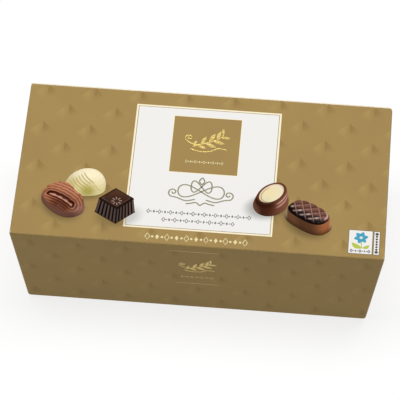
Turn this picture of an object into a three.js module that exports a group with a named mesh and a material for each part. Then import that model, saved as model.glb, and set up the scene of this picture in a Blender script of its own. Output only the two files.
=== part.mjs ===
// A shut ballotin box of chocolate pralines: one folded card blank, wider at the lid than at
// the base. Millimetres, +Z up. The origin is the centre of the base, +X runs along the width
// and the front faces -Y.
//
// The lid, the front wall and the base panel are one strip of card, so the front has folds at
// its top and bottom edges. The other walls fold over as ears under the lid and the base panel,
// whose three free edges show the thickness of the card. The lid tucks in behind the back wall,
// and the right wall is glued over a flap of the back wall, which leaves an upright card edge.
// The box is shut, so it is one solid.

import * as THREE from 'three';
import { mergeVertices } from 'three/addons/utils/BufferGeometryUtils.js';

// Driving dimensions: the sharp corners in which the faces would meet without fold radii.
const HEIGHT = 64;
const LID_WIDTH = 190;
const LID_DEPTH = 97;
const BASE_WIDTH = 177;
const BASE_DEPTH = 86;

// The card and its folds.
const CARD = 0.5;
const FOLD_RADIUS = 0.9;
const FOLD_STEPS = 5;
const CORNER_RADIUS = 1;
const CORNER_STEPS = 4;

// Free edges: how far the lid and the base panel stand back from the faces of the walls, how
// far the back wall's cut edge lies below the lid, and how far the glued edge of the right wall
// stops short of the rear corner. LEDGE is the gap between the layers at a free edge.
const PANEL_SETBACK = 0.5;
const BACK_EDGE_DROP = 0.6;
const TUCK_GAP = 0.15;
const GLUED_EDGE_SETBACK = 1.8;
const LEDGE = 0.03;

const SIDE = makeWall(BASE_WIDTH, LID_WIDTH);
const END = makeWall(BASE_DEPTH, LID_DEPTH);
const EAR_TOP = HEIGHT - CARD;
const EAR_BOTTOM = CARD;
const BACK_EDGE = HEIGHT - BACK_EDGE_DROP;
const QUARTER_TURN = Math.PI / 2;

// A pair of opposite walls that lean outwards, as half the distance between them at a height.
function makeWall(baseSize, lidSize) {
  const slope = (lidSize - baseSize) / 2 / HEIGHT;
  return {
    halfSizeAt: (z) => baseSize / 2 + slope * z,
    lean: Math.atan(slope),
  };
}

// Half size of a wall that is folded over at foldTop and foldBottom. Each fold is an arc that
// is tangent to the leaning wall and to the level panel that it turns into.
function foldedHalfSize(wall, z, foldBottom, foldTop) {
  const arcHalfSize = (centreZ) => {
    const centre = wall.halfSizeAt(centreZ) - FOLD_RADIUS / Math.cos(wall.lean);
    return centre + Math.sqrt(Math.max(FOLD_RADIUS ** 2 - (z - centreZ) ** 2, 0));
  };
  const rise = FOLD_RADIUS * Math.sin(wall.lean);
  if (z > foldTop - FOLD_RADIUS - rise) return arcHalfSize(foldTop - FOLD_RADIUS);
  if (z < foldBottom + FOLD_RADIUS - rise) return arcHalfSize(foldBottom + FOLD_RADIUS);
  return wall.halfSizeAt(z);
}

// The four faces at one height: those of the base panel below the lower ears, those of the lid
// above the upper ears, and between them the walls.
function sidesAt(z) {
  const inBasePanel = z < EAR_BOTTOM;
  const inLid = z > EAR_TOP;
  const inTuckFold = z > BACK_EDGE;

  let halfWidth = foldedHalfSize(SIDE, z, EAR_BOTTOM, EAR_TOP);
  if (inBasePanel) halfWidth = SIDE.halfSizeAt(0) - PANEL_SETBACK;
  if (inLid) halfWidth = SIDE.halfSizeAt(HEIGHT) - PANEL_SETBACK;

  let back = foldedHalfSize(END, z, EAR_BOTTOM, Infinity);
  if (inBasePanel) back = END.halfSizeAt(0) - PANEL_SETBACK;
  if (inTuckFold) {
    const tuckFace = END.halfSizeAt(BACK_EDGE) - CARD - TUCK_GAP;
    const climb = z - (HEIGHT - FOLD_RADIUS);
    back = tuckFace - FOLD_RADIUS + Math.sqrt(Math.max(FOLD_RADIUS ** 2 - climb ** 2, 0));
  }

  return {
    halfWidth,
    front: foldedHalfSize(END, z, 0, HEIGHT),
    back,
    gluedStep: inBasePanel || inLid ? 0 : CARD,
  };
}

// A quarter circle round a corner, from the angle start, counter-clockwise.
function cornerArc(cornerX, cornerY, start) {
  const middle = start + QUARTER_TURN / 2;
  const centreX = cornerX - Math.sign(Math.cos(middle)) * CORNER_RADIUS;
  const centreY = cornerY - Math.sign(Math.sin(middle)) * CORNER_RADIUS;
  return Array.from({ length: CORNER_STEPS + 1 }, (_, step) => {
    const angle = start + (QUARTER_TURN * step) / CORNER_STEPS;
    return [centreX + CORNER_RADIUS * Math.cos(angle), centreY + CORNER_RADIUS * Math.sin(angle)];
  });
}

// The outline of the box at one height, counter-clockwise from above. The right wall ends in a
// glued edge, past which the rear corner stands back by the thickness of the card.
function outlineAt(z) {
  const { halfWidth, front, back, gluedStep } = sidesAt(z);
  const gluedEdgeY = back - GLUED_EDGE_SETBACK;
  return [
    ...cornerArc(halfWidth, -front, -QUARTER_TURN),
    [halfWidth, gluedEdgeY],
    [halfWidth - gluedStep, gluedEdgeY],
    ...cornerArc(halfWidth - gluedStep, back, 0),
    ...cornerArc(-halfWidth, back, QUARTER_TURN),
    ...cornerArc(-halfWidth, -front, 2 * QUARTER_TURN),
  ];
}

// The heights of the outlines: both sides of each ledge, and those of each fold's arc, at the
// lid, at the ears and at the base.
function levelHeights() {
  const ledges = [EAR_BOTTOM - LEDGE, EAR_BOTTOM, BACK_EDGE, BACK_EDGE + LEDGE, EAR_TOP, EAR_TOP + LEDGE];
  const heights = new Set(ledges);
  const lean = Math.max(SIDE.lean, END.lean);
  for (let step = 0; step <= FOLD_STEPS; step += 1) {
    const depth = FOLD_RADIUS * (1 - Math.cos((QUARTER_TURN * step) / FOLD_STEPS));
    heights.add(depth);
    heights.add(EAR_BOTTOM + depth);
    heights.add(HEIGHT - depth);
    heights.add(EAR_TOP - depth);
  }
  heights.add(HEIGHT - FOLD_RADIUS * (1 + Math.sin(lean)));
  heights.add(EAR_TOP - FOLD_RADIUS * (1 + Math.sin(lean)));
  return [...heights].sort((a, b) => a - b);
}

// Joins outlines of equal point count into one closed skin with flat ends. Above and below the
// glued edge its two points fall together, and the triangles between them are dropped.
function loft(levels) {
  const count = levels[0].outline.length;
  const lowest = levels[0];
  const highest = levels[levels.length - 1];
  const positions = levels.flatMap(({ z, outline }) => outline.flatMap(([x, y]) => [x, y, z]));
  const baseCentre = positions.length / 3;
  const lidCentre = baseCentre + 1;
  positions.push(0, 0, lowest.z, 0, 0, highest.z);

  const triangles = [];
  for (let point = 0; point < count; point += 1) {
    const next = (point + 1) % count;
    for (let level = 0; level < levels.length - 1; level += 1) {
      const low = level * count;
      const high = low + count;
      triangles.push([low + point, low + next, high + next]);
      triangles.push([low + point, high + next, high + point]);
    }
    const top = (levels.length - 1) * count;
    triangles.push([baseCentre, next, point]);
    triangles.push([lidCentre, top + point, top + next]);
  }

  let geometry = new THREE.BufferGeometry();
  geometry.setAttribute('position', new THREE.Float32BufferAttribute(positions, 3));
  geometry.setIndex(triangles.flat());
  geometry = mergeVertices(geometry, 1e-4);

  const merged = geometry.getIndex().array;
  const kept = [];
  for (let first = 0; first < merged.length; first += 3) {
    const [a, b, c] = merged.slice(first, first + 3);
    if (a !== b && b !== c && c !== a) kept.push(a, b, c);
  }
  geometry.setIndex(kept);
  geometry.computeVertexNormals();
  return geometry;
}

function makeCarton() {
  const levels = levelHeights().map((z) => ({ z, outline: outlineAt(z) }));
  const goldCard = new THREE.MeshStandardMaterial({ color: 0xa68b59, roughness: 0.45, metalness: 0.2 });
  const carton = new THREE.Mesh(loft(levels), goldCard);
  carton.name = 'carton';
  return carton;
}

const group = new THREE.Group();
group.add(makeCarton());

export default group;
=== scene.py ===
"""A shut gold ballotin for chocolate pralines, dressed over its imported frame.

The carton is one folded card. All that shows on it is print or foil, so every mark is a thin
skin on the lid or on the front wall. Sizes are in millimetres, and a mesh is turned into
metres where it is laid in its place.
"""

import logging
import math
from dataclasses import dataclass, field, replace
from enum import Enum
from functools import cached_property, partial
from typing import Any, Callable, Optional, Sequence, Union

import bpy
import numpy as np
from mathutils import Matrix, Vector


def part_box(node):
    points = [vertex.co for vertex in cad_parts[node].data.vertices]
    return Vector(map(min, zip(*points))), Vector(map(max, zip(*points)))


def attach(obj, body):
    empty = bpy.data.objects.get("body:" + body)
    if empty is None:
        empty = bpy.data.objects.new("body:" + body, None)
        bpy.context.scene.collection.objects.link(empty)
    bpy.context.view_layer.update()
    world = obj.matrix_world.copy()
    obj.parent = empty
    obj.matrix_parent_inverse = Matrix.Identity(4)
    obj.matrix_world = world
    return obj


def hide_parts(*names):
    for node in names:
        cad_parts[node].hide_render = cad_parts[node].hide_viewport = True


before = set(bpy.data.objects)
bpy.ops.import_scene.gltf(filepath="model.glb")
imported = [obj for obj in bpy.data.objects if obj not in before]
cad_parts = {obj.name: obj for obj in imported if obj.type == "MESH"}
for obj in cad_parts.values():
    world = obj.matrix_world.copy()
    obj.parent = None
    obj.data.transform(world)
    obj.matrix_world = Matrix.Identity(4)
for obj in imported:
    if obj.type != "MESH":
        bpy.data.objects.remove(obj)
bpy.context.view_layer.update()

LOG = logging.getLogger("ballotin")
MM = 0.001
CARTON_NODE = "carton"
BLANK_UV = "blank"
BLANK_UV_UNIT = 100.0
FOLD_WEAR = "fold_wear"
INK = "ink"
WHITE = (1.0, 1.0, 1.0, 1.0)
GRAIN_RANGE = (0.3, 0.7)
SMOOTH = {"interpolation_type": "SMOOTHSTEP"}
TIMES = {"operation": "MULTIPLY"}

Point2 = tuple[float, float]
Point3 = tuple[float, float, float]
Socket = bpy.types.NodeSocket
Outputs = bpy.types.bpy_prop_collection
Inputs = Union[Sequence[Any], dict[Union[str, int], Any]]
Adder = Callable[..., Outputs]
Ink = Union[str, np.ndarray]


class Slot(Enum):
    """The record's material slots, which each piece is reported with."""

    GOLD_CARD = "gold_card"
    WHITE_PRINT = "white_print"
    DARK_PRINT = "dark_print"
    GOLD_FOIL = "gold_foil"
    PRALINE_PRINT = "praline_print"


class Panel(Enum):
    """The parts of the card blank, which the print follows."""

    FRONT = "front"
    RIGHT = "right"
    BACK = "back"
    LEFT = "left"
    LID = "lid"
    BASE = "base"


def srgb(code: str) -> tuple[float, float, float, float]:
    """Turn an sRGB hex value into a linear colour.

    Args:
        code: six hex digits.

    Returns:
        Linear red, green and blue, and an alpha of 1.
    """
    values = [int(code[place:place + 2], 16) / 255 for place in (0, 2, 4)]
    linear = [v / 12.92 if v <= 0.04045 else ((v + 0.055) / 1.055) ** 2.4 for v in values]
    return (*linear, 1.0)


def add_node(tree: bpy.types.NodeTree, kind: str, inputs: Inputs = (), **settings: Any) -> Outputs:
    """Add a node with its settings, values and links.

    Args:
        tree: the tree that gets the node.
        kind: the node's type name.
        inputs: what each input gets, in order or by name or index: a value, a socket to link,
            or a list of sockets for an input that takes several.
        settings: the node's properties.

    Returns:
        The node's outputs.
    """
    node = tree.nodes.new(kind)
    for name, value in settings.items():
        setattr(node, name, value)
    for name, value in inputs.items() if isinstance(inputs, dict) else enumerate(inputs):
        for source in value if isinstance(value, list) else [value]:
            if isinstance(source, bpy.types.NodeSocket):
                tree.links.new(source, node.inputs[name])
            else:
                node.inputs[name].default_value = source
    return node.outputs


def features(place: Socket, size_mm: float, octaves: float) -> Inputs:
    """Give the inputs of a noise, about 0.5 on average, by the real size of its features."""
    return {"Vector": place, "Scale": 1 / size_mm, "Detail": octaves, "Roughness": 0.55}


def principled(name: str, describe: Callable[[Adder], Inputs]) -> bpy.types.Material:
    """Make a material of one shader.

    Args:
        name: the material's name.
        describe: gives the shader's inputs and adds the nodes that they need.

    Returns:
        The material.
    """
    made = bpy.data.materials.new(name)
    made.use_nodes = True
    made.node_tree.nodes.clear()
    add = partial(add_node, made.node_tree)
    shader = add("ShaderNodeBsdfPrincipled", describe(add))
    add("ShaderNodeOutputMaterial", (shader[0],))
    return made


@dataclass(frozen=True)
class SoftShadow:
    """A printed shadow round a pictured sweet: a soft ellipse on the lid."""

    centre: Point2
    radii: Point2
    turn_deg: float
    strength: float


@dataclass(frozen=True)
class LidShade:
    """All printed shadows of the lid. Each is full in its core, a share of its radii."""

    shadows: tuple[SoftShadow, ...]
    core: float = 0.45
    lid_from: float = 60.0
    code: str = "1E1612"

    def darken(self, add: Adder, place: Socket, colour: Socket) -> Socket:
        """Darken a colour by the shadows, on the lid alone.

        Args:
            add: adds a node to the material.
            place: coordinates in millimetres.
            colour: the colour in full light.

        Returns:
            The darkened colour.
        """
        flat = add("ShaderNodeVectorMath", (place, (1.0, 1.0, 0.0)), **TIMES)[0]
        left: Any = 1.0
        for shadow in self.shadows:
            turn = math.radians(shadow.turn_deg)
            ellipse = (flat, (*shadow.centre, 0.0), (0.0, 0.0, turn), (*shadow.radii, 1.0))
            local = add("ShaderNodeMapping", ellipse, vector_type="TEXTURE")[0]
            away = add("ShaderNodeVectorMath", (local,), operation="LENGTH")["Value"]
            light = (away, self.core, 1.0, 1 - shadow.strength, 1.0)
            left = add("ShaderNodeMath", (left, add("ShaderNodeMapRange", light, **SMOOTH)[0]), **TIMES)[0]
        height = add("ShaderNodeSeparateXYZ", (place,))[2]
        on_lid = add("ShaderNodeMath", (height, self.lid_from), operation="GREATER_THAN")[0]
        lost = add("ShaderNodeMath", (1.0, left), operation="SUBTRACT")[0]
        share = add("ShaderNodeMath", (lost, on_lid), **TIMES)[0]
        return add("ShaderNodeMix", {0: share, 6: colour, 7: srgb(self.code)}, data_type="RGBA")[2]


@dataclass(frozen=True)
class Fade:
    """A soft edge of a tone: nothing at start and all of it at end, measured along a way."""

    way: Point3
    start: float
    end: float
    kind: str = "SMOOTHSTEP"


@dataclass(frozen=True)
class FacetPattern:
    """The tone on tone print: facets of raised squares, staggered on a square lattice.

    Each facet hangs from its apex. Its right half is in shade and its left half in light, and
    both fade downwards, like the tip of a low pyramid that is lit from the left. The pattern is
    weaker on the walls than on the lid, and the ink is slightly cracked along the folds. Each
    soft edge is given by where its tone starts and where it is full, measured from the apex.
    """

    period: float = 24.4
    edge: float = 0.6
    dark_fade: Point2 = (5.6, 0.6)
    dark_drop: Point2 = (9.0, 4.05)
    light_edge: Point2 = (-0.4, 0.6)
    light_rise: Point2 = (0.3, 3.8)
    light_slant: float = 0.75
    light_fade: Point2 = (14.45, 7.45)
    lid_end: float = 94.0
    on_walls: float = 0.78
    crack_mm: float = 1.6
    crack_spread: Point3 = (0.42, 0.66, 0.12)

    def tones(self) -> dict[str, list[Fade]]:
        """The soft edges of the darker and of the lighter ink, to the right and downwards.

        Returns:
            The fades of each ink, by its colour.
        """
        right, down = (1.0, 0.0, 0.0), (0.0, 1.0, 0.0)
        dark = [Fade((-1.0, 1.0, 0.0), 0.0, 2 * self.edge), Fade(right, -self.edge, self.edge),
                Fade(right, *self.dark_fade, "LINEAR"), Fade(down, *self.dark_drop)]
        light = [Fade((1.0, 1.0, 0.0), *self.light_edge), Fade((-1.0, 0.0, 0.0), *self.light_rise),
                 Fade((-self.light_slant, 1.0, 0.0), *self.light_fade)]
        return {"8F7546": dark, "A48A55": light}

    def lay(self, add: Adder, ground: Socket) -> Socket:
        """Lay the facets and the worn folds over the ground colour.

        Args:
            add: adds a node to the material.
            ground: the ground colour.

        Returns:
            The patterned colour.
        """
        uv = add("ShaderNodeUVMap", uv_map=BLANK_UV)[0]
        blank = add("ShaderNodeVectorMath", {0: uv, "Scale": BLANK_UV_UNIT}, operation="SCALE")[0]
        down = add("ShaderNodeSeparateXYZ", (blank,))[1]
        past_lid = (down, self.lid_end, self.lid_end + 1.0, 1.0, self.on_walls)
        strength = add("ShaderNodeMapRange", past_lid, **SMOOTH)[0]
        colour, half = ground, self.period / 2
        for code, fades in self.tones().items():
            shares = []
            for shift in (0.0, half):
                moved = (blank, (shift - half, shift, 0.0))
                cell = (add("ShaderNodeVectorMath", moved, operation="ADD")[0],
                        (half, self.period, 1.0), (-half, 0.0, 0.0))
                local = add("ShaderNodeVectorMath", cell, operation="WRAP")[0]
                share = strength
                for fade in fades:
                    along = add("ShaderNodeVectorMath", (local, fade.way), operation="DOT_PRODUCT")["Value"]
                    part = add("ShaderNodeMapRange", (along, fade.start, fade.end),
                               interpolation_type=fade.kind)[0]
                    share = add("ShaderNodeMath", (share, part), **TIMES)[0]
                shares.append(share)
            both = add("ShaderNodeMath", shares, operation="ADD", use_clamp=True)[0]
            colour = add("ShaderNodeMix", {0: both, 6: colour, 7: srgb(code)}, data_type="RGBA")[2]
        low, high, most = self.crack_spread
        speckle = add("ShaderNodeTexNoise", features(blank, self.crack_mm, 4.0))[0]
        cracks = add("ShaderNodeMapRange", (speckle, low, high, 0.0, most), **SMOOTH)[0]
        worn = add("ShaderNodeAttribute", attribute_name=FOLD_WEAR)["Fac"]
        share = add("ShaderNodeMath", (worn, cracks), **TIMES)[0]
        return add("ShaderNodeMix", {0: share, 6: colour, 7: srgb("D9C9A0")}, data_type="RGBA")[2]


@dataclass(frozen=True)
class Finish:
    """An ink, a foil or a cut edge, whose colour and gloss follow one fine grain.

    The spread is the grain's values that give the full and the thin colour, and the thin
    colour's greatest share. The roughness is given for the ends of the grain's usual range, and
    the bump by its strength and its depth.
    """

    name: str
    full: str = "FFFFFF"
    thin: str = "FFFFFF"
    grain_mm: float = 0.5
    octaves: float = 3.0
    spread: Point3 = (0.35, 0.75, 1.0)
    roughness: Point2 = (0.45, 0.6)
    bump: Point2 = (0.0, 0.0)
    constants: dict[str, float] = field(default_factory=dict)
    shade: Optional[LidShade] = None

    @cached_property
    def material(self) -> bpy.types.Material:
        """The built material."""
        return principled(self.name, self.inputs)

    def inputs(self, add: Adder) -> Inputs:
        """Add the finish's nodes.

        Args:
            add: adds a node to the material.

        Returns:
            A value or a socket for each input of the shader that the finish sets.
        """
        own = add("ShaderNodeTexCoord")["Object"]
        place = add("ShaderNodeVectorMath", {0: own, "Scale": 1 / MM}, operation="SCALE")[0]
        grain = add("ShaderNodeTexNoise", features(place, self.grain_mm, self.octaves))[0]
        gloss = add("ShaderNodeMapRange", (grain, *GRAIN_RANGE, *self.roughness), **SMOOTH)[0]
        colour = self.colour(add, place, grain)
        if self.shade is not None:
            colour = self.shade.darken(add, place, colour)
        made = {"Base Color": colour, "Roughness": gloss, **self.constants}
        strength, depth = self.bump
        if strength > 0.0:
            bump = {"Height": grain, "Strength": strength, "Distance": depth * MM}
            made["Normal"] = add("ShaderNodeBump", {**bump, **self.waves(add, place)})[0]
        return made

    def ink(self, add: Adder) -> Any:
        """The full colour, as a value or a socket."""
        return srgb(self.full)

    def waves(self, add: Adder, place: Socket) -> dict[str, Socket]:
        """What the grain's bumps lie on, where that isn't flat."""
        return {}

    def colour(self, add: Adder, place: Socket, grain: Socket) -> Socket:
        """Mix the full and the thin colour.

        Args:
            add: adds a node to the material.
            place: coordinates in millimetres, not used here.
            grain: the noise that the mix follows.

        Returns:
            The colour in full light.
        """
        low, high, most = self.spread
        share = add("ShaderNodeMapRange", (grain, low, high, 0.0, most), **SMOOTH)[0]
        return add("ShaderNodeMix", {0: share, 6: self.ink(add), 7: srgb(self.thin)}, data_type="RGBA")[2]


@dataclass(frozen=True)
class PrintedBoard(Finish):
    """Printed board, whose tone drifts in wide clouds under its facets.

    Its waves are given by their strength and their depth.
    """

    facets: Optional[FacetPattern] = None
    cloud_mm: float = 38.0
    wave: Point2 = (0.3, 0.12)

    def colour(self, add: Adder, place: Socket, grain: Socket) -> Socket:
        """Mix the clouds, and lay the facets over them.

        Args:
            add: adds a node to the material.
            place: coordinates in millimetres.
            grain: the noise of the fibre, which the clouds don't follow. It is not used here.

        Returns:
            The colour in full light.
        """
        cloud = add("ShaderNodeTexNoise", features(place, self.cloud_mm, 2.0))[0]
        ground = super().colour(add, place, cloud)
        return ground if self.facets is None else self.facets.lay(add, ground)

    def waves(self, add: Adder, place: Socket) -> dict[str, Socket]:
        """The board's slight waves, by their strength and depth.

        Args:
            add: adds a node to the material.
            place: coordinates in millimetres.

        Returns:
            The normal under the bumps of the grain.
        """
        strength, depth = self.wave
        height = add("ShaderNodeTexNoise", features(place, self.cloud_mm, 1.0))[0]
        bump = {"Height": height, "Strength": strength, "Distance": depth * MM}
        return {"Normal": add("ShaderNodeBump", bump)[0]}


@dataclass(frozen=True)
class PicturePrint(Finish):
    """Colour print, whose inks are kept on the mesh's points and dulled by faint dots."""

    def ink(self, add: Adder) -> Any:
        """The inks of the mesh's points."""
        return add("ShaderNodeAttribute", attribute_name=INK)["Color"]


class Palette:
    """The finishes of the box."""

    def __init__(self, shade: LidShade) -> None:
        """Name the finishes.

        Args:
            shade: the printed shadows, which lie on every field of the lid.
        """
        # Solid bleached board, offset printed in gold brown under a satin varnish. The ink is
        # flat and even, so the eye gets a warm, slightly soft gloss with no metal glitter.
        board = partial(PrintedBoard, full="9B8150", thin="9F8551", grain_mm=0.7, spread=(*GRAIN_RANGE, 1.0),
                        roughness=(0.44, 0.54), bump=(0.35, 0.012), shade=shade,
                        constants={"IOR": 1.48, "Specular IOR Level": 0.05})
        self.board = board("gold printed board", facets=FacetPattern())
        self.square = board("gold printed field")
        # The board's cut edge is uncoated pulp: matte, slightly fibrous and cream white.
        self.cut = Finish("bleached board edge", "D8CBB0", "EFE6D2", 0.45, 4.0, (*GRAIN_RANGE, 1.0),
                          (0.75, 0.92))
        # Opaque white ink on the board: even and satin.
        white = partial(Finish, thin="D9D6D0", grain_mm=0.7, spread=(0.0, 1.0, 0.05),
                        roughness=(0.42, 0.52), bump=(0.3, 0.01), shade=shade,
                        constants={"IOR": 1.48, "Specular IOR Level": 0.14})
        self.white = white("white printed field", "E5E3E0")
        self.cream = white("cream printed line", "F1E6C6")
        self.patch = white("white patch", "E6E4E0")
        # Hot stamped gold foil: bright yellow metal, a little broken by the board below. Its
        # grain is coarser than real foil's, so that its glints still show from a step away.
        self.foil = Finish("hot stamped gold foil", "CFB058", "EDD585", 1.1, 3.0, (0.35, 0.65, 1.0),
                           (0.26, 0.4), (0.5, 0.03), {"Metallic": 0.35})
        # Thin line inks: each is one satin colour that lets a little of the fibre through.
        self.line = Finish("dull gold line ink", "7E6A42", "A08B60")
        self.olive = Finish("olive line ink", "8A8567", "9C9678")
        self.grey = Finish("warm grey ink", "66625C", "827E77")
        self.pale = Finish("pale gold ink", "E6D7A4", "D8C78F")
        self.green = Finish("leaf green ink", "A9B52C", "B4C03E")
        self.blue = Finish("sea blue ink", "1590AE", "2C9DBB")
        self.dark = Finish("dark line ink", "2A2520", "3A352F")
        self.bright = Finish("bright gold ink", "EBCD79", "DDBE6C")
        self.dull = Finish("dull gold ink", "D2B57C", "C4A770")
        # Four colour print of the sweets under the satin varnish, deep and with little gloss.
        self.sweets = PicturePrint("chocolate colour print", thin="140A06", spread=(0.3, 0.8, 0.1),
                                   roughness=(0.42, 0.52),
                                   constants={"IOR": 1.48, "Specular IOR Level": 0.03})


@dataclass
class Skin:
    """A mesh in the making, whose equal points are shared."""

    points: list[Point3] = field(default_factory=list)
    wear: list[float] = field(default_factory=list)
    faces: list[list[int]] = field(default_factory=list)
    materials: list[int] = field(default_factory=list)
    smooth: list[bool] = field(default_factory=list)
    blank: list[Point2] = field(default_factory=list)
    known: dict[Point3, int] = field(default_factory=dict)

    def point(self, place: Point3, wear: float = 0.0) -> int:
        """Add a point, or find the equal one.

        Args:
            place: where it is.
            wear: how worn the print is there, from 0 to 1.

        Returns:
            The point's index.
        """
        index = self.known.setdefault(tuple(round(value, 4) for value in place), len(self.points))
        if index == len(self.points):
            self.points.append(place)
            self.wear.append(wear)
        self.wear[index] = max(self.wear[index], wear)
        return index

    def face(self, corners: Sequence[int], material: int = 0, smooth: bool = False,
             blank: Sequence[Point2] = ()) -> None:
        """Add a face, without corners that fall together.

        Args:
            corners: the indices of its points, counter-clockwise from outside.
            material: the index of its material.
            smooth: whether it is shaded as part of a round stretch.
            blank: the place of each corner on the blank.
        """
        kept = [at for at in range(len(corners)) if corners[at] != corners[at - 1]]
        if len(kept) > 2:
            self.faces.append([corners[at] for at in kept])
            self.blank += [blank[at] if blank else (0.0, 0.0) for at in kept]
            self.materials.append(material)
            self.smooth.append(smooth)

    def add_field(self, outline: Sequence[Point2], thickness: float, bottom: float = 0.0,
                  hole: Sequence[Point2] = ()) -> None:
        """Add a thin closed field of ink, with or without a hole of as many corners.

        Args:
            outline: its outline in the face's own plane, counter-clockwise.
            thickness: its height over its own bottom.
            bottom: the height of its bottom over the card.
            hole: the hole's outline, counter-clockwise.
        """
        top = bottom + thickness
        stack = [(outline, bottom), (outline, top)] + ([(hole, top), (hole, bottom)] if hole else [])
        loops = [[self.point((x, y, z)) for x, y in loop] for loop, z in stack]
        if hole:
            loops.append(loops[0])
        else:
            self.face(loops[1])
            self.face(loops[0][::-1])
        for low, high in zip(loops, loops[1:]):
            for at in range(len(outline)):
                self.face([low[at - 1], low[at], high[at], high[at - 1]])

    def mesh(self, name: str, *finishes: Finish) -> bpy.types.Mesh:
        """Turn it into a mesh, still in millimetres.

        Args:
            name: the mesh's name.
            finishes: the finishes, in the order of their indices.

        Returns:
            The mesh.
        """
        mesh = bpy.data.meshes.new(name)
        mesh.from_pydata(self.points, [], self.faces)
        for finish in finishes:
            mesh.materials.append(finish.material)
        mesh.polygons.foreach_set("material_index", self.materials)
        mesh.polygons.foreach_set("use_smooth", self.smooth)
        uv = mesh.uv_layers.new(name=BLANK_UV)
        uv.data.foreach_set("uv", np.ravel(self.blank) / BLANK_UV_UNIT)
        mesh.attributes.new(FOLD_WEAR, "FLOAT", "POINT").data.foreach_set("value", self.wear)
        return mesh


def link_object(name: str, data: bpy.types.ID) -> bpy.types.Object:
    """Put new data into the scene as an object at the origin.

    Args:
        name: the object's name.
        data: its mesh, curve, light or camera.

    Returns:
        The new object.
    """
    made = bpy.data.objects.new(name, data)
    bpy.context.scene.collection.objects.link(made)
    return made


def deliver(piece: bpy.types.Object, slot: Slot) -> bpy.types.Object:
    """Give a finished piece its body, and report it with its slot.

    Args:
        piece: the piece.
        slot: the record's material slot.

    Returns:
        The piece.
    """
    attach(piece, "root")
    LOG.info("%s: %d faces, %s", piece.name, len(piece.data.polygons), slot.value)
    return piece


@dataclass(frozen=True)
class Wall:
    """A pair of opposite walls that lean outwards, by their distance at base and lid."""

    base: float
    lid: float
    height: float

    @property
    def lean(self) -> float:
        """The wall's angle from upright, in radians."""
        return math.atan2(self.lid - self.base, 2 * self.height)

    def half_at(self, z: float) -> float:
        """Half the distance between the walls at a height."""
        return (self.base + (self.lid - self.base) * z / self.height) / 2


@dataclass(frozen=True)
class Face:
    """A flat face of the box with its own right and up, for print that lies on it."""

    origin: Point3
    right: Point3
    up: Point3
    normal: Point3

    def lay(self, name: str, mesh: bpy.types.Mesh, slot: Slot, centre: Point2 = (0.0, 0.0),
            lift: float = 0.0, scale: float = 1.0) -> bpy.types.Object:
        """Lay a mesh on the face as a finished piece.

        Args:
            name: the piece's name.
            mesh: the print in its own plane.
            slot: the record's material slot.
            centre: where the print's origin lies on the face.
            lift: how high its origin lies over the card.
            scale: how many millimetres one of its units is.

        Returns:
            The piece.
        """
        turned = Matrix((self.right, self.up, self.normal)).transposed().to_4x4()
        on_face = Matrix.Translation(self.origin) @ turned
        on_print = Matrix.Translation((*centre, lift)) @ Matrix.Scale(scale, 4)
        mesh.transform(Matrix.Scale(MM, 4) @ on_face @ on_print)
        mesh.update()
        return deliver(link_object(name, mesh), slot)


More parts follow.
